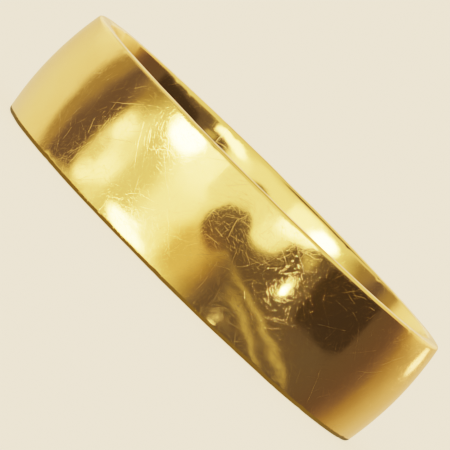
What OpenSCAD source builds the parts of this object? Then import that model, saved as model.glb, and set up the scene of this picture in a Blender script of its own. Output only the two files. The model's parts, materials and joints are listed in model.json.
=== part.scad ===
// Plain wedding band: a domed gold strip, bent round and closed with one solder joint.
// The finger's axis is +Z and the origin is the middle of the bore. Millimetres.

/* [Fit] */
// Inside circumference, which is the ring's ISO 8653 size
ring_size = 62; // [44:1:76]
// Width along the finger
band_w = 6; // [4:0.5:10]

/* [Section] */
// Thickness at the middle of the band
band_t = 1.2; // [1.1:0.05:2.4]
// How far the outside bulges between its two edges
crown = 0.28; // [0.1:0.02:0.36]
// Width of the straight part of the bore
land_w = 2; // [1.5:0.1:3]
// How far the inside curves away from the finger towards each edge
inner_rise = 0.24; // [0.1:0.02:0.3]
// Radius worn onto each outer edge
outer_round = 0.18; // [0.08:0.01:0.2]
// Radius on each inner edge
inner_round = 0.12; // [0.05:0.01:0.15]

/* [Solder joint] */
// Thickness of the solder between the strip's two ends
seam_t = 0.08; // [0.04:0.01:0.2]
// Direction of the joint from the centre, counted from +X towards +Y
seam_angle = 108; // [0:1:359]

/* [Hidden] */
$fn = 240;

gold = [0.83, 0.63, 0.26];
solder_gold = [0.87, 0.72, 0.42];

half_w = band_w / 2;
half_land = land_w / 2;
bore_r = ring_size / (2 * PI);
outer_r = bore_r + band_t;

// Radius of the arc that rises by some height over half its chord
function arc_radius(half_chord, rise) = (pow(half_chord, 2) + pow(rise, 2)) / (2 * rise);

// Across the width the outside is one arc, from edge to edge over the crown
crown_r = arc_radius(half_w, crown);
crown_c = [outer_r - crown_r, 0];

// The inside is straight over the land, and then one arc to each edge
flare_r = arc_radius(half_w - half_land, inner_rise);
flare_c = [bore_r + flare_r, half_land];

// Each edge round is a circle that touches the edge's flat and an arc from within
function round_offset(arc_r, arc_c, round_r) =
    sqrt(pow(arc_r - round_r, 2) - pow(half_w - round_r - arc_c[1], 2));
outer_c = [crown_c[0] + round_offset(crown_r, crown_c, outer_round), half_w - outer_round];
inner_c = [flare_c[0] - round_offset(flare_r, flare_c, inner_round), half_w - inner_round];

// Where each round meets its arc, as a direction from either circle's centre
function direction(from, to) = atan2(to[1] - from[1], to[0] - from[0]);
outer_end = direction(crown_c, outer_c);
inner_end = direction(flare_c, inner_c);

// A shape that cuts another runs past it by this much
over = 1;

// Repeats the top edge's shapes at the bottom edge
module both_edges() {
    children();
    mirror([0, 1]) children();
}

// What a round takes off its corner: the wedge between the directions to its two ends
module corner(centre, radius, from, to) {
    reach = 3 * radius;
    polygon([
        centre,
        centre + reach * [cos(from), sin(from)],
        centre + reach * [cos(to), sin(to)]
    ]);
}

// What the flare takes off the inside, beyond the land
module flare_cut() {
    difference() {
        translate([bore_r - over, half_land]) square([over + band_t, half_w]);
        translate(flare_c) circle(r = flare_r);
    }
}

// The strip's section, with the radius along x and the height along y
module section() {
    difference() {
        intersection() {
            translate([bore_r, -half_w]) square([band_t, band_w]);
            translate(crown_c) circle(r = crown_r);
        }
        both_edges() {
            flare_cut();
            corner(outer_c, outer_round, outer_end, 90);
            corner(inner_c, inner_round, 90, inner_end);
        }
    }
    both_edges() {
        translate(outer_c) circle(r = outer_round);
        translate(inner_c) circle(r = inner_round);
    }
}

module whole_ring() {
    rotate_extrude() section();
}

// A flat slab through the wall on one side of the bore, where the strip's ends meet
module seam_slab() {
    rotate([0, 0, seam_angle])
        translate([bore_r - over, -seam_t / 2, -half_w - over])
            cube([band_t + 2 * over, seam_t, band_w + 2 * over]);
}

// The strip, bent round
module band() {
    color(gold) difference() {
        whole_ring();
        seam_slab();
    }
}

// The solder that fills the gap, dressed flush with the strip
module solder_seam() {
    color(solder_gold) intersection() {
        whole_ring();
        seam_slab();
    }
}

band();
solder_seam();
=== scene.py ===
"""A worn, polished wedding band on a pale light table, seen nearly level from a little above its edge.

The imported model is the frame. The band and its solder joint are rebuilt here as fine meshes with the
wear of years on a finger: soft waves, dents, rubbed edges and hairline scratches. Lengths are in
millimetres until a mesh is made, and are turned into metres there.
"""
import json
import math

import bpy
import numpy as np
from mathutils import Matrix, Vector


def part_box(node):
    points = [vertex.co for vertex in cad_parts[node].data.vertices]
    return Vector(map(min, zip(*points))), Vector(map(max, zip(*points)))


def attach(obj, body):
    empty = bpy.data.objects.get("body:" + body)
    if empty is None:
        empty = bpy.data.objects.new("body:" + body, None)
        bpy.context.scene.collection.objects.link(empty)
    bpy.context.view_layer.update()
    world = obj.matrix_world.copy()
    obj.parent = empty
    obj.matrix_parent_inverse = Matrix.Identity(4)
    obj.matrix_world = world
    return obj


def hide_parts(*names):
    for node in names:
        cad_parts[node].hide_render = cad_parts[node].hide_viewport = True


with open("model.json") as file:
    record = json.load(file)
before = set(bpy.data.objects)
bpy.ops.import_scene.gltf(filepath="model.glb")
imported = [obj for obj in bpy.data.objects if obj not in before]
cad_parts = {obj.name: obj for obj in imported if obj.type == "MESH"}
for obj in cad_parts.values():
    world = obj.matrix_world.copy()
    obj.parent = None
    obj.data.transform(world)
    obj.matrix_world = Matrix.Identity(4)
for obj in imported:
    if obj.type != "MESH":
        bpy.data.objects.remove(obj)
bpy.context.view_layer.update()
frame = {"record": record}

MM = 0.001

# ---------------------------------------------------------------- sizes, from the frame where it has them
band_low, band_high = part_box("band")
HALF_W = band_high[2] / MM
OUTER_R = band_high[0] / MM
FLOOR_Z = band_low[2]
BORE = next(m for m in frame["record"]["mounts"] if m["name"] == "finger_bore")
BORE_R = BORE["dims"]["r_mm"]
HALF_LAND = BORE["dims"]["length_mm"] / 2

# The rest of the section, as in part.scad
CROWN = 0.28
INNER_RISE = 0.24
OUTER_ROUND = 0.18
INNER_ROUND = 0.12
SEAM_T = 0.08
SEAM_ANGLE = math.radians(108)

# Mesh density: cells round the band, across the solder, and along each stretch of half the section
CELLS_ROUND, CELLS_SOLDER = 800, 8
CELLS_LAND, CELLS_FLARE, CELLS_INNER_ROUND = 4, 14, 5
CELLS_FLAT, CELLS_OUTER_ROUND, CELLS_CROWN = 4, 7, 28
# Length of one more cell at each end of the band, so short that the end's face doesn't show in the shading
SLIVER = 0.003
# How far the solder's middle is sunk
SOLDER_SINK = 0.0001


# ---------------------------------------------------------------- the band's section
def arc_radius(half_chord, rise):
    """Radius of the arc that rises by some height over half its chord."""
    return (half_chord ** 2 + rise ** 2) / (2 * rise)


def arc(centre, radius, start, end, cells):
    """Points along an arc with their outward directions, without the last one."""
    turn = start + (end - start) * np.arange(cells) / cells
    out = np.stack([np.cos(turn), np.sin(turn)], 1)
    return centre + radius * out, out


def line(start, end, out, cells):
    """Points along a straight stretch, without the last one."""
    share = np.arange(cells)[:, None] / cells
    return start + (end - start) * share, np.tile(np.array(out, float), (cells, 1))


def section():
    """The closed section as (radius, height) points with outward directions.

    It starts in the middle of the bore and goes up the inside, over the top edge and down the outside.
    """
    crown_r = arc_radius(HALF_W, CROWN)
    crown_c = np.array([OUTER_R - crown_r, 0.0])
    flare_r = arc_radius(HALF_W - HALF_LAND, INNER_RISE)
    flare_c = np.array([BORE_R + flare_r, HALF_LAND])

    def round_centre(arc_c, arc_r, radius, side):
        y = HALF_W - radius
        return np.array([arc_c[0] + side * math.sqrt((arc_r - radius) ** 2 - (y - arc_c[1]) ** 2), y])

    outer_c = round_centre(crown_c, crown_r, OUTER_ROUND, 1)
    inner_c = round_centre(flare_c, flare_r, INNER_ROUND, -1)
    outer_end = math.atan2(*(outer_c - crown_c)[::-1])
    inner_end = math.atan2(*(inner_c - flare_c)[::-1])
    top = math.pi / 2
    half = [
        line(np.array([BORE_R, 0.0]), np.array([BORE_R, HALF_LAND]), (-1, 0), CELLS_LAND),
        arc(flare_c, flare_r, math.pi, inner_end, CELLS_FLARE),
        arc(inner_c, INNER_ROUND, inner_end, top, CELLS_INNER_ROUND),
        line(np.array([inner_c[0], HALF_W]), np.array([outer_c[0], HALF_W]), (0, 1), CELLS_FLAT),
        arc(outer_c, OUTER_ROUND, top, outer_end, CELLS_OUTER_ROUND),
        arc(crown_c, crown_r, outer_end, 0.0, CELLS_CROWN),
    ]
    points = np.concatenate([p for p, _ in half] + [[[OUTER_R, 0.0]]])
    outs = np.concatenate([o for _, o in half] + [[[1.0, 0.0]]])
    flip = np.array([1.0, -1.0])
    points = np.concatenate([points, points[-2:0:-1] * flip])
    outs = np.concatenate([outs, outs[-2:0:-1] * flip])
    return points, outs


POINTS, OUTS = section()
steps = np.linalg.norm(np.roll(POINTS, -1, 0) - POINTS, axis=1)
ALONG = np.concatenate([[0.0], np.cumsum(steps)])
GIRTH = ALONG[-1]


# ---------------------------------------------------------------- wear, as a depth below the new surface
WEAR_SEED = 63
rng = np.random.default_rng(WEAR_SEED)

# Waves from years of rubbing: longest and shortest wavelength, height of each, how many
WAVES = [(14.0, 6.0, 0.0018, 10), (6.0, 2.4, 0.0009, 22), (2.4, 1.0, 0.00026, 40)]
# Dents: how many, smallest and largest radius, depth as a share of the radius
DENTS = [(90, 0.10, 0.22, 0.012), (16, 0.25, 0.5, 0.010)]
# Nicks on the four edges: how many on each, smallest and largest radius, the deepest one's depth as a share
# of its radius, and the shallowest one's as a share of that
NICKS = (26, 0.10, 0.22, 0.09, 0.2)
# A dent or nick fades out, and is left off beyond this many radii
DENT_REACH = 3


def wave_depth(turn, along):
    """Soft waves that close up round the band and along the section."""
    depth = np.zeros(np.broadcast(turn, along).shape)
    for longest, shortest, height, count in WAVES:
        for _ in range(count):
            length = math.exp(rng.uniform(math.log(shortest), math.log(longest)))
            heading = rng.uniform(0, 2 * math.pi)
            rounds = round(2 * math.pi * OUTER_R / length * math.cos(heading))
            loops = round(GIRTH / length * math.sin(heading))
            phase = rng.uniform(0, 2 * math.pi)
            depth += height * np.cos(rounds * turn + 2 * math.pi * loops * along / GIRTH + phase)
    return depth.max() - depth


def dent_depth(turn, along, places):
    """Round hollows; places holds (turn, along, radius, depth) for each."""
    depth = np.zeros(np.broadcast(turn, along).shape)
    for at, where, radius, deep in places:
        away = np.abs((turn - at + math.pi) % (2 * math.pi) - math.pi) * OUTER_R
        rows = np.nonzero(away[:, 0] < DENT_REACH * radius)[0]
        across = np.abs((along - where + GIRTH / 2) % GIRTH - GIRTH / 2)
        near = (away[rows] ** 2 + across ** 2) / radius ** 2
        depth[rows] = np.maximum(depth[rows], deep * np.exp(-near))
    return depth


def dent_places():
    """Dents all over, and nicks along the edge rounds."""
    places = []
    for count, small, large, share in DENTS:
        for _ in range(count):
            radius = rng.uniform(small, large)
            places.append((rng.uniform(0, 2 * math.pi), rng.uniform(0, GIRTH), radius, radius * share))
    lengths = [CELLS_LAND, CELLS_FLARE, CELLS_INNER_ROUND, CELLS_FLAT, CELLS_OUTER_ROUND]
    inner_edge = sum(lengths[:2]) + CELLS_INNER_ROUND // 2
    outer_edge = sum(lengths[:4]) + CELLS_OUTER_ROUND // 2
    count, small, large, share, least = NICKS
    for edge in (inner_edge, outer_edge):
        for where in (ALONG[edge], GIRTH - ALONG[edge]):
            for _ in range(count):
                radius = rng.uniform(small, large)
                deep = radius * share * rng.uniform(least, 1.0)
                places.append((rng.uniform(0, 2 * math.pi), where, radius, deep))
    return places


def stations():
    """Turns of the band's rings, counted from the joint, with a sliver at each end."""
    half_gap = SEAM_T / 2 / BORE_R
    sliver = SLIVER / BORE_R
    inner = np.linspace(half_gap + sliver, 2 * math.pi - half_gap - sliver, CELLS_ROUND + 1)
    return np.concatenate([[half_gap], inner, [2 * math.pi - half_gap]])


TURNS = stations()
ALL_TURNS, ALL_ALONG = TURNS[:, None], ALONG[None, :-1]
WEAR = wave_depth(ALL_TURNS, ALL_ALONG) + dent_depth(ALL_TURNS, ALL_ALONG, dent_places())


# ---------------------------------------------------------------- meshes
def ring_points(turn, wear, flat_at=None):
    """One ring of the mesh; flat_at puts it in the joint's face at that distance from its middle."""
    radius = POINTS[:, 0] - OUTS[:, 0] * wear
    height = POINTS[:, 1] - OUTS[:, 1] * wear
    if flat_at is None:
        x, y = radius * math.cos(turn), radius * math.sin(turn)
    else:
        x, y = np.sqrt(radius ** 2 - flat_at ** 2), np.full_like(radius, flat_at)
    return np.stack([x, y, height], 1)


def sweep(name, rings, lengths):
    """A closed solid from rings of section points, with lengths round and along as its UV map, in mm."""
    count, size = len(rings), len(POINTS)
    verts = np.concatenate(rings) * MM
    spin = np.array(Matrix.Rotation(SEAM_ANGLE, 3, "Z"))
    verts = verts @ spin.T
    faces = []
    for i in range(count - 1):
        for j in range(size):
            k = (j + 1) % size
            faces.append((i * size + j, i * size + k, (i + 1) * size + k, (i + 1) * size + j))
    caps = [list(reversed(range(size))), [(count - 1) * size + j for j in range(size)]]
    mesh = bpy.data.meshes.new(name)
    mesh.from_pydata(verts.tolist(), [], faces + caps)
    mesh.update()
    uv = np.zeros((len(mesh.loops), 2))
    round_at = np.repeat(lengths[:-1], size)
    round_to = np.repeat(lengths[1:], size)
    along_at = np.tile(ALONG[:-1], count - 1)
    along_to = np.tile(ALONG[1:], count - 1)
    sides = uv[:4 * (count - 1) * size].reshape(-1, 4, 2)
    sides[:, :, 0] = np.stack([round_at, round_at, round_to, round_to], 1)
    sides[:, :, 1] = np.stack([along_at, along_to, along_to, along_at], 1)
    layer = mesh.uv_layers.new(name="lengths")
    layer.data.foreach_set("uv", uv.ravel())
    mesh.polygons.foreach_set("use_smooth", [True] * len(faces) + [False] * len(caps))
    obj = bpy.data.objects.new(name, mesh)
    bpy.context.scene.collection.objects.link(obj)
    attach(obj, "root")
    return obj


def make_band():
    """The band; its two end rings lie in the joint's faces."""
    half = SEAM_T / 2
    rings = [ring_points(turn, wear) for turn, wear in zip(TURNS, WEAR)]
    rings[0] = ring_points(0, WEAR[0], half)
    rings[-1] = ring_points(0, WEAR[-1], -half)
    obj = sweep("worn_band", rings, TURNS * OUTER_R)
    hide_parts("band")
    return obj


def make_solder():
    """The solder, flush where it meets the band and sunk a little in its middle, as dressed solder is."""
    half = SEAM_T / 2
    rings, lengths = [], []
    for share in np.linspace(-1, 1, CELLS_SOLDER + 1):
        wear = WEAR[-1] + (WEAR[0] - WEAR[-1]) * (share + 1) / 2 + SOLDER_SINK * (1 - share ** 2)
        rings.append(ring_points(0, wear, half * share))
        lengths.append(half * share)
    obj = sweep("solder_line", rings, np.array(lengths))
    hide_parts("solder_seam")
    return obj


# ---------------------------------------------------------------- materials
class Graph:
    """Short names for the shader nodes that this script needs."""

    def __init__(self, tree):
        self.tree = tree
        tree.nodes.clear()

    def node(self, kind, **settings):
        made = self.tree.nodes.new(kind)
        for key, value in settings.items():
            setattr(made, key, value)
        return made

    def put(self, socket, value):
        """Links another socket, or sets a constant."""
        if isinstance(value, bpy.types.NodeSocket):
            self.tree.links.new(value, socket)
        else:
            socket.default_value = value

    def math(self, operation, *values):
        made = self.node("ShaderNodeMath", operation=operation)
        for socket, value in zip(made.inputs, values):
            self.put(socket, value)
        return made.outputs[0]

    def parts(self, vector):
        """The x, y and z of a vector, or a colour's three parts."""
        made = self.node("ShaderNodeSeparateXYZ")
        self.put(made.inputs[0], vector)
        return made.outputs

    def smooth(self, value, low, high, to_low=0.0, to_high=1.0):
        """A smooth ramp of value from low to high."""
        made = self.node("ShaderNodeMapRange", interpolation_type="SMOOTHSTEP")
        for name, item in (("Value", value), ("From Min", low), ("From Max", high),
                           ("To Min", to_low), ("To Max", to_high)):
            self.put(made.inputs[name], item)
        return made.outputs["Result"]

    def mix(self, factor, first, second):
        """Mixes two numbers."""
        made = self.node("ShaderNodeMix", data_type="FLOAT")
        for socket, value in zip(made.inputs[:1] + made.inputs[2:4], (factor, first, second)):
            self.put(socket, value)
        return made.outputs[0]

    def tint(self, factor, first, second, blend="MIX"):
        """Mixes two colours, each a socket or three numbers."""
        made = self.node("ShaderNodeMix", data_type="RGBA", blend_type=blend)
        self.put(made.inputs[0], factor)
        for socket, value in zip(made.inputs[6:8], (first, second)):
            self.put(socket, value if isinstance(value, bpy.types.NodeSocket) else (*value, 1))
        return made.outputs[2]

    def noise(self, vector, scale, detail, roughness=0.5):
        """Noise from 0 to 1, with so many lumps to the mm."""
        made = self.node("ShaderNodeTexNoise", noise_dimensions="3D")
        self.put(made.inputs["Vector"], vector)
        for name, value in (("Scale", scale), ("Detail", detail), ("Roughness", roughness)):
            made.inputs[name].default_value = value
        return made.outputs[0]

    def stretch(self, vector, turn, along, across, seed):
        """Coordinates turned by some degrees and counted in lengths along and across that heading."""
        made = self.node("ShaderNodeMapping", vector_type="TEXTURE")
        self.put(made.inputs["Vector"], vector)
        made.inputs["Location"].default_value = (seed, seed * LAYER_SLANT, 0)
        made.inputs["Rotation"].default_value = (0, 0, math.radians(turn))
        made.inputs["Scale"].default_value = (along, across, 1)
        return made.outputs[0]


# Layers of scratches. Each has a heading and how far its lines turn from it, in degrees; the length and
# width of the patch that holds one line, the line's length and half width, all in mm; the share of patches
# that hold one; and its depth in micrometres.
SCRATCHES = [
    (10, 90, 0.12, 0.12, 0.22, 0.006, 0.9, 0.5),
    (50, 90, 0.17, 0.17, 0.28, 0.006, 0.9, 0.5),
    (90, 90, 0.25, 0.25, 0.38, 0.006, 0.9, 0.6),
    (130, 90, 0.34, 0.34, 0.46, 0.006, 0.9, 0.7),
    (25, 25, 0.90, 0.30, 0.85, 0.007, 0.8, 0.9),
    (68, 25, 1.00, 0.34, 0.95, 0.007, 0.8, 0.9),
    (112, 25, 0.90, 0.30, 0.85, 0.007, 0.8, 0.9),
    (155, 25, 1.10, 0.34, 1.00, 0.007, 0.8, 0.9),
    (45, 15, 3.00, 1.00, 2.60, 0.009, 0.7, 1.5),
    (140, 15, 2.60, 0.90, 2.30, 0.009, 0.7, 1.5),
]
# Each layer's pattern is shifted by this much more than the last one's, and by this share of it across
LAYER_SHIFT, LAYER_SLANT = 7.3, 0.7
# Most lines are faint and a few are deep: the share of the depth that every line has, and the power that
# makes the rest rare
FAINTEST, RARITY = 0.15, 2.5
# How far the lines wander, in mm, and about how many wanderings there are to the mm
WANDER, WANDER_SCALE = 0.18, 0.9

# The outside ends between these distances from the middle of the crown, along the section
OUTSIDE_ENDS = (3.0, 3.6)
# The bore's scratches beside the outside's
BORE_SCRATCHES = 0.35
# Where the gold is rubbed: lumps to the mm, and the part of their range over which it sets in
RUBBED_SCALE, RUBBED_RANGE = 0.5, (0.35, 0.7)
# What rubbing does to the colour and how much of that shows, and to the roughness
RUBBED_TINT, RUBBED_TINT_SHARE, RUBBED_MATT = (1.0, 1.04, 1.12), 0.5, 1.4
# Roughness that a scratch adds for each micrometre of its depth
SCRATCH_MATT = 0.20
# Unevenness of the polish, 1 micrometre high, and fine grain on it: lumps to the mm, and the grain's height
MOTTLE_SCALE, GRAIN_SCALE, GRAIN_HEIGHT = 2.5, 16.0, 0.5

GOLD = (1.0, 0.68, 0.26)
SOLDER_GOLD = (1.0, 0.71, 0.31)
GOLD_ROUGHNESS, SOLDER_ROUGHNESS = 0.06, 0.09
# The solder's scratches beside the band's
SOLDER_SCRATCHES = 0.7


def scratch_layer(g, place, seed, heading, spread, cell_l, cell_w, length, half_w, share, depth):
    """One layer's depth in micrometres: one line to a patch, each at its own turn."""
    where = g.stretch(place, heading, cell_l, cell_w, seed)
    cells = g.node("ShaderNodeTexVoronoi", voronoi_dimensions="2D", feature="F1")
    g.put(cells.inputs["Vector"], where)
    cells.inputs["Scale"].default_value = 1.0
    away = g.node("ShaderNodeVectorMath", operation="SUBTRACT")
    g.put(away.inputs[0], where)
    g.put(away.inputs[1], cells.outputs["Position"])
    sized = g.node("ShaderNodeVectorMath", operation="MULTIPLY")
    g.put(sized.inputs[0], away.outputs[0])
    sized.inputs[1].default_value = (cell_l, cell_w, 0)
    luck = g.parts(cells.outputs["Color"])
    turned = g.node("ShaderNodeVectorRotate", rotation_type="Z_AXIS")
    g.put(turned.inputs["Vector"], sized.outputs[0])
    turn = g.math("MULTIPLY", g.math("SUBTRACT", luck[0], 0.5), 2 * math.radians(spread))
    g.put(turned.inputs["Angle"], turn)
    x, y, _ = g.parts(turned.outputs[0])
    # Deepest along its middle, and fading out over its first and last quarters
    groove = g.smooth(g.math("ABSOLUTE", y), 0.0, half_w, 1.0, 0.0)
    reach = g.smooth(g.math("ABSOLUTE", x), length / 4, length / 2, 1.0, 0.0)
    here = g.math("LESS_THAN", luck[1], share)
    deep = g.math("MULTIPLY", g.math("ADD", g.math("POWER", luck[2], RARITY), FAINTEST), depth)
    return g.math("MULTIPLY", g.math("MULTIPLY", groove, reach), g.math("MULTIPLY", here, deep))


def scratches_at(g, place):
    """Depth of the scratches in micrometres; the lines wander a little, as hand-worn ones do."""
    warp = g.node("ShaderNodeTexNoise", noise_dimensions="2D")
    g.put(warp.inputs["Vector"], place)
    warp.inputs["Scale"].default_value = WANDER_SCALE
    warp.inputs["Detail"].default_value = 1.0
    shift = g.node("ShaderNodeVectorMath", operation="MULTIPLY")
    g.put(shift.inputs[0], warp.outputs["Color"])
    shift.inputs[1].default_value = (WANDER, WANDER, 0.0)
    bent = g.node("ShaderNodeVectorMath", operation="ADD")
    g.put(bent.inputs[0], place)
    g.put(bent.inputs[1], shift.outputs[0])
    total = None
    for number, layer in enumerate(SCRATCHES):
        one = scratch_layer(g, bent.outputs[0], LAYER_SHIFT * (number + 1), *layer)
        total = one if total is None else g.math("ADD", total, one)
    return total


def gold(name, colour, roughness, scratch_share):
    """Worn polished gold: a mirror with hairlines, a little hazy where it is rubbed most."""
    material = bpy.data.materials.new(name)
    material.use_nodes = True
    g = Graph(material.node_tree)
    out = g.node("ShaderNodeOutputMaterial")
    shader = g.node("ShaderNodeBsdfPrincipled")
    g.put(out.inputs["Surface"], shader.outputs[0])
    shader.inputs["Metallic"].default_value = 1.0

    uv = g.node("ShaderNodeUVMap", uv_map="lengths").outputs[0]
    _, along, _ = g.parts(uv)
    # 0 in the bore, 1 on the outside
    outside = g.smooth(g.math("ABSOLUTE", g.math("SUBTRACT", along, GIRTH / 2)), *OUTSIDE_ENDS, 1.0, 0.0)
    share = g.mix(outside, BORE_SCRATCHES * scratch_share, scratch_share)
    scratches = g.math("MULTIPLY", scratches_at(g, uv), share)
    rubbed = g.smooth(g.noise(uv, RUBBED_SCALE, detail=4.0, roughness=0.6), *RUBBED_RANGE)

    paler = [part * change for part, change in zip(colour, RUBBED_TINT)]
    g.put(shader.inputs["Base Color"], g.tint(g.math("MULTIPLY", rubbed, RUBBED_TINT_SHARE), colour, paler))

    matt = g.mix(rubbed, roughness, roughness * RUBBED_MATT)
    g.put(shader.inputs["Roughness"], g.math("ADD", matt, g.math("MULTIPLY", scratches, SCRATCH_MATT)))

    bump = g.node("ShaderNodeBump", invert=True)
    bump.inputs["Strength"].default_value = 1.0
    # The heights are in micrometres
    bump.inputs["Distance"].default_value = 0.001 * MM
    mottle = g.noise(uv, MOTTLE_SCALE, detail=1.0)
    grain = g.math("MULTIPLY", g.noise(uv, GRAIN_SCALE, detail=2.0, roughness=0.7), GRAIN_HEIGHT)
    g.put(bump.inputs["Height"], g.math("ADD", scratches, g.math("ADD", mottle, grain)))
    g.put(shader.inputs["Normal"], bump.outputs[0])
    return material


# ---------------------------------------------------------------- studio
# What the gold mirrors, painted in order over a plain room of some brightness. Each pane has its direction
# from the ring (azimuth 0 is the camera's side, -Y, and 90 is +X; elevation 90 is overhead), its half width
# and half height and its tilt, all in degrees; how square it is (2 is an ellipse); how soft its edge is, as
# a share of its size; and its brightness. A size of ROUND has no end.
ROOM = 1.3
ROUND = 400
PANES = [
    ("back", 180, 0, 35, ROUND, 0, 2, 0.50, 1.05),
    ("right_shade", 100, 0, 38, ROUND, 0, 2, 1.0, 0.16),
    ("dark_side", 56, 0, 54, ROUND, 0, 4, 0.28, 0.14),
    ("door_frame", -100, 0, 10.5, ROUND, 0, 2, 0.45, 0.34),
    ("doorway", -86.8, 0, 10.1, ROUND, -10, 6, 0.42, 0.15),
    ("door_foot", -88, -24, 20, 6, 0, 4, 0.25, 0.90),
    ("bright_wall", -43, 0, 32, ROUND, 0, 6, 0.08, 1.15),
    ("wall_shade", -68, 14, 9, 9, 0, 2, 0.40, 0.80),
    ("wall_corner", -76, 16, 9, 10, 0, 2, 0.60, 0.30),
    ("wall_strip", -25, 0, 12, ROUND, 0, 2, 0.50, 2.45),
    ("strip_top", -30, 12, 15, 10, 0, 2, 0.60, 3.60),
    ("panel", -61, -6, 6, 13, 0, 2, 0.50, 2.10),
    ("panel_a", -69, -1, 5.5, 4.5, 0, 2, 0.60, 3.80),
    ("panel_b", -63, -11, 6, 4.5, 0, 2, 0.60, 3.60),
    ("panel_c", -70, -15.5, 6, 3, 0, 2, 0.60, 3.60),
    ("centre_wall", 4, 22, 23.5, 17, 0, 12, 0.06, 1.80),
    ("centre_glow", 18, 11, 6, 7, 0, 2, 0.60, 2.40),
    ("skirt", -8, -14, 9, 9, 0, 2, 0.60, 0.90),
    ("disc", 0.5, 1.7, 10.3, 9, 0, 2, 0.12, 0.18),
    ("arm", 12, -1.5, 13, 3.4, -20, 4, 0.20, 0.14),
    ("window", 71, 5, 18.5, 10, 0, 6, 0.10, 0.07),
    ("gold_patch", 41, 11, 3.5, 2.2, 0, 2, 0.50, 0.60),
    ("streak_1", 50, -13, 32, 1.0, -10, 4, 0.40, 0.55),
    ("streak_2", 43, -16.5, 20, 1.0, -13, 4, 0.40, 0.55),
    ("ceiling", 0, 90, ROUND, 70, 0, 8, 0.04, 1.20),
    ("cove", -62, 30, 56, 5.5, 0, 4, 0.20, 0.10),
    ("zenith", 0, 90, ROUND, 25, 0, 8, 0.15, 0.60),
    ("back_high", -176, 14, 60, 10, 0, 4, 0.25, 1.70),
    ("table", 0, -90, ROUND, 60, 0, 8, 0.03, 1.10),
    ("lamp_1", -45, 12, 8.5, 4.6, 0, 2, 0.35, 24.0),
    ("lamp_low", -36, -20.5, 13, 3.0, -8, 2, 0.35, 13.0),
    ("lamp_2", 29, 17, 11, 3.2, 8, 4, 0.25, 6.5),
    ("hot_spot", 41, 0.6, 1.3, 1.7, 0, 2, 0.40, 60.0),
    ("hot_low", 28, -21.5, 2.4, 0.6, 0, 2, 0.40, 6.0),
    ("hot_end", 146, 1, 5, 1.8, 0, 2, 0.40, 4.0),
]
# The bright parts of the room are warm and the dark ones greyer, and between these brightnesses one turns
# into the other
CREAM = (1.0, 0.82, 0.48)
SHADE = (0.93, 0.84, 0.95)
SHADE_TO_CREAM = (0.11, 0.36)
# Panes like the above that multiply the colour instead: the back and the sides are more tan
TANS = [
    ("back", 180, 0, 75, ROUND, 0, 4, 0.20, (1.0, 0.94, 1.02)),
    ("skirt", -4, -13, 15, 11, 0, 2, 0.50, (1.0, 0.82, 0.74)),
    ("rim_glow", 180, 2, 35, 9, 0, 2, 0.60, (1.0, 0.90, 0.74)),
    ("right_back", 132, 0, 40, ROUND, 0, 3, 0.50, (1.0, 0.88, 0.82)),
    ("left_side", -94, 0, 24, ROUND, 0, 2, 0.60, (1.0, 0.94, 1.0)),
]
# The table's colour as the camera sees it, scene-linear; how much of it the table gives off by itself;
# the colour of the paper that returns the room's light for the rest; and its radius
TABLE = (1.69, 1.29, 0.81)
TABLE_GLOW = 0.76
TABLE_PAPER = (0.35, 0.35, 0.35)
TABLE_R = 3000
# The painted contact shadow under the band, a dark ring that only the gold mirrors: how far it shows on
# each side, and its brightness
CONTACT_SHADOW_MARGIN, CONTACT_SHADOW_GLOW = 0.12, 0.2
# Sides of the table and of that painted shadow ring
FLAT_SIDES = 192


def pane_cover(g, azimuth, elevation, at, high, half_w, half_h, tilt, square, soft):
    """How much of a pane lies in a direction: 1 inside and 0 outside."""
    dx = g.math("WRAP", g.math("SUBTRACT", azimuth, float(at)), 180.0, -180.0)
    dy = g.math("SUBTRACT", elevation, float(high))
    if tilt:
        c, s = math.cos(math.radians(tilt)), math.sin(math.radians(tilt))
        dx, dy = (g.math("ADD", g.math("MULTIPLY", dx, c), g.math("MULTIPLY", dy, s)),
                  g.math("ADD", g.math("MULTIPLY", dx, -s), g.math("MULTIPLY", dy, c)))
    px = g.math("POWER", g.math("ABSOLUTE", g.math("DIVIDE", dx, float(half_w))), float(square))
    py = g.math("POWER", g.math("ABSOLUTE", g.math("DIVIDE", dy, float(half_h))), float(square))
    reach = g.math("POWER", g.math("ADD", px, py), 1 / square)
    return g.smooth(reach, 1 - soft, 1 + soft, 1.0, 0.0)


def make_world():
    """The room for the gold, and the table's colour where the camera looks past the table."""
    world = bpy.data.worlds.new("studio")
    bpy.context.scene.world = world
    world.use_nodes = True
    g = Graph(world.node_tree)
    out = g.node("ShaderNodeOutputWorld")
    x, y, z = g.parts(g.node("ShaderNodeTexCoord").outputs["Generated"])
    degrees = 180 / math.pi
    azimuth = g.math("MULTIPLY", g.math("ARCTAN2", x, g.math("MULTIPLY", y, -1.0)), degrees)
    elevation = g.math("MULTIPLY", g.math("ARCSINE", z), degrees)
    light = ROOM
    for _, *shape, bright in PANES:
        light = g.mix(pane_cover(g, azimuth, elevation, *shape), light, float(bright))
    tint = g.tint(g.smooth(light, *SHADE_TO_CREAM), SHADE, CREAM)
    for _, *shape, colour in TANS:
        tint = g.tint(pane_cover(g, azimuth, elevation, *shape), tint, colour, "MULTIPLY")
    room = g.node("ShaderNodeBackground")
    g.put(room.inputs["Color"], tint)
    g.put(room.inputs["Strength"], light)
    table = g.node("ShaderNodeBackground")
    table.inputs["Color"].default_value = (*TABLE, 1)
    seen = g.node("ShaderNodeLightPath").outputs["Is Camera Ray"]
    both = g.node("ShaderNodeMixShader")
    for socket, value in zip(both.inputs, (seen, room.outputs[0], table.outputs[0])):
        g.put(socket, value)
    g.put(out.inputs["Surface"], both.outputs[0])


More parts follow.
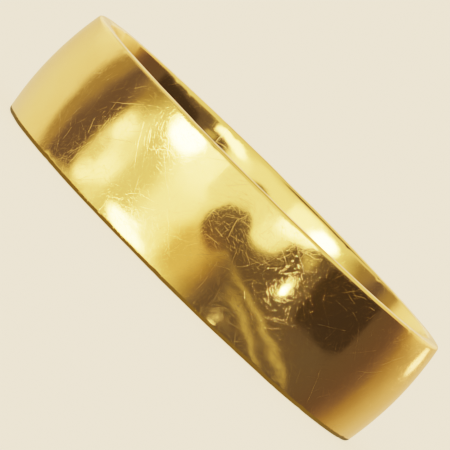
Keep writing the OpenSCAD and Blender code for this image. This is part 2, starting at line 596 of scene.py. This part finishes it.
def flat_ring(name, inner_r, outer_r):
    """A flat ring on the table under the band, or a disc if inner_r is 0; radii in mm."""
    sides = FLAT_SIDES
    turn = np.arange(sides) * 2 * math.pi / sides
    ring = np.stack([np.cos(turn), np.sin(turn), np.zeros(sides)], 1) * MM
    floor = np.array([0, 0, FLOOR_Z])
    if inner_r:
        verts = np.concatenate([ring * inner_r, ring * outer_r]) + floor
        faces = [(i, sides + i, sides + (i + 1) % sides, (i + 1) % sides) for i in range(sides)]
    else:
        verts = ring * outer_r + floor
        faces = [list(range(sides))]
    mesh = bpy.data.meshes.new(name)
    mesh.from_pydata(verts.tolist(), [], faces)
    obj = bpy.data.objects.new(name, mesh)
    bpy.context.scene.collection.objects.link(obj)
    material = bpy.data.materials.new(name)
    material.use_nodes = True
    mesh.materials.append(material)
    return obj, Graph(material.node_tree)


def make_table():
    """A big pale light table, which the gold doesn't mirror. A little of its light is the room's, so the
    band throws a faint shadow on it."""
    obj, g = flat_ring("table", 0, TABLE_R)
    obj.visible_glossy = False
    obj.visible_diffuse = False
    glow = g.node("ShaderNodeEmission")
    glow.inputs["Color"].default_value = (*TABLE, 1)
    glow.inputs["Strength"].default_value = TABLE_GLOW
    paper = g.node("ShaderNodeBsdfDiffuse")
    paper.inputs["Color"].default_value = (*TABLE_PAPER, 1)
    both = g.node("ShaderNodeAddShader")
    g.put(both.inputs[0], glow.outputs[0])
    g.put(both.inputs[1], paper.outputs[0])
    g.put(g.node("ShaderNodeOutputMaterial").inputs["Surface"], both.outputs[0])


def make_contact_shadow():
    """A painted contact shadow: a dark glowing ring on the table where the band stands, which only the gold
    mirrors.
    """
    obj, g = flat_ring("contact_shadow", BORE_R - CONTACT_SHADOW_MARGIN, OUTER_R + CONTACT_SHADOW_MARGIN)
    obj.visible_camera = False
    obj.visible_diffuse = False
    obj.visible_shadow = False
    # Painted shadow: this dark glow stands in for the shade on the table under the band
    dark = g.node("ShaderNodeEmission")
    dark.inputs["Color"].default_value = (*CREAM, 1)
    dark.inputs["Strength"].default_value = CONTACT_SHADOW_GLOW
    g.put(g.node("ShaderNodeOutputMaterial").inputs["Surface"], dark.outputs[0])


# ---------------------------------------------------------------- camera
# Its distance from the middle of the bore in metres, how high it stands, and how far it is rolled
CAMERA_AWAY = 0.3246
CAMERA_UP = math.radians(3.45)
CAMERA_ROLL = math.radians(44.67)
FOCAL_PIXELS, FRAME_PIXELS = 7142, 450
# The middle of the view, a little off the middle of the bore, in metres
AIM = Vector((-0.00006, 0.0, 0.000105))
CLIP_NEAR, CLIP_FAR = 0.01, 20.0


def make_camera():
    """A camera far off and nearly level, rolled so that the band stands askew in the picture."""
    data = bpy.data.cameras.new("camera")
    data.lens = FOCAL_PIXELS / FRAME_PIXELS * data.sensor_width
    data.clip_start, data.clip_end = CLIP_NEAR, CLIP_FAR
    cam = bpy.data.objects.new("camera", data)
    bpy.context.scene.collection.objects.link(cam)
    bpy.context.scene.camera = cam
    place = Vector((0, -math.cos(CAMERA_UP), math.sin(CAMERA_UP))) * CAMERA_AWAY
    back = (place - AIM).normalized()
    level = Vector((0, 0, 1)).cross(back).normalized()
    upright = back.cross(level)
    c, s = math.cos(CAMERA_ROLL), math.sin(CAMERA_ROLL)
    right, up = level * c + upright * s, upright * c - level * s
    cam.matrix_world = Matrix.Translation(place) @ Matrix((right, up, back)).transposed().to_4x4()


# ---------------------------------------------------------------- the scene
make_camera()
band = make_band()
solder = make_solder()
band.data.materials.append(gold("yellow_gold", GOLD, GOLD_ROUGHNESS, 1.0))
solder.data.materials.append(gold("gold_solder", SOLDER_GOLD, SOLDER_ROUGHNESS, SOLDER_SCRATCHES))
make_table()
make_contact_shadow()
make_world()
bpy.context.scene.view_settings.view_transform = "Filmic"
bpy.context.scene.view_settings.look = "High Contrast"
